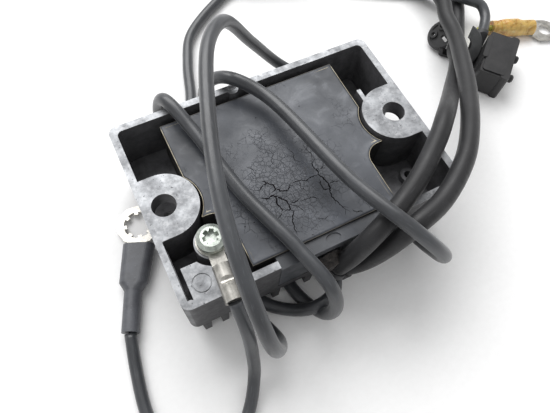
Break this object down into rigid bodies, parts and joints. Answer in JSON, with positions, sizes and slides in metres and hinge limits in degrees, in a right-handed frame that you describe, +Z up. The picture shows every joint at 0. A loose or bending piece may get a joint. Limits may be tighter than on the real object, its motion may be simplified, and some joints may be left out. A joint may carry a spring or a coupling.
{
  "type": "ignition coil",
  "caption": "Potted capacitor-discharge ignition coil in a finned die-cast tray, with plug leads, a wound control cable, a ground lead and ring terminals.",
  "frame": {"origin": "centre of the tray's footprint, at the tips of its cooling fins", "axes": "+X along the tray's long side towards the connector's side, +Y away from the open front, +Z up out of the potted face"},
  "size_m": [0.2483, 0.2213, 0.0625],
  "materials": {
    "tray": "die-cast, linished rim, dark inside",
    "case": "dark moulding with a tan cut edge",
    "potting": "cast compound with shrinkage cracks",
    "seal": "rough hand-laid sealant",
    "core": "laminated",
    "bobbin": "moulded",
    "bobbin_dark": "moulded",
    "enamel_wire": "enamelled copper",
    "board": "solder mask",
    "capacitor": "dipped film",
    "semiconductor": "moulded",
    "zinc_screw": "zinc plated",
    "tinned": "tin plated brass",
    "cable": "soft PVC",
    "plug_lead": "silicone rubber",
    "cap_rubber": "moulded",
    "sleeve_black": "heat-shrunk",
    "sleeve_amber": "clear amber heat-shrink",
    "brass": "bright",
    "housing": "glass-filled nylon",
    "earth_wire": "yellow-green PVC"
  },
  "bodies": {
    "root": {"tray_frame": "tray", "coil_case": "case", "potting_compound": "potting", "outlet_block": "potting", "outlet_seal": "seal", "laminated_core": "core", "primary_bobbin": "bobbin", "primary_winding": "enamel_wire", "secondary_bobbin": "bobbin_dark", "secondary_winding": "enamel_wire", "circuit_board": "board", "charge_capacitor": "capacitor", "thyristor": "semiconductor", "rectifier_diodes": "semiconductor", "ground_screw": "zinc_screw", "spring_washer": "zinc_screw", "ground_terminal": "tinned", "ground_lead": "cable", "star_sleeve": "sleeve_black", "star_terminal": "tinned", "ht_gland_a": "cap_rubber", "ht_gland_b": "cap_rubber", "ht_lead_a": "plug_lead", "ht_lead_b": "plug_lead", "plug_cap_a": "cap_rubber", "plug_cap_b": "cap_rubber", "plug_contact_a": "brass", "plug_contact_b": "brass", "control_cable": "cable", "connector_body": "housing", "connector_pins": "housing", "connector_collar": "cap_rubber", "connector_boot": "cap_rubber", "earth_wire": "earth_wire", "earth_sleeve": "sleeve_amber", "earth_terminal": "tinned", "dust_cap": "cap_rubber"}
  },
  "joints": []
}
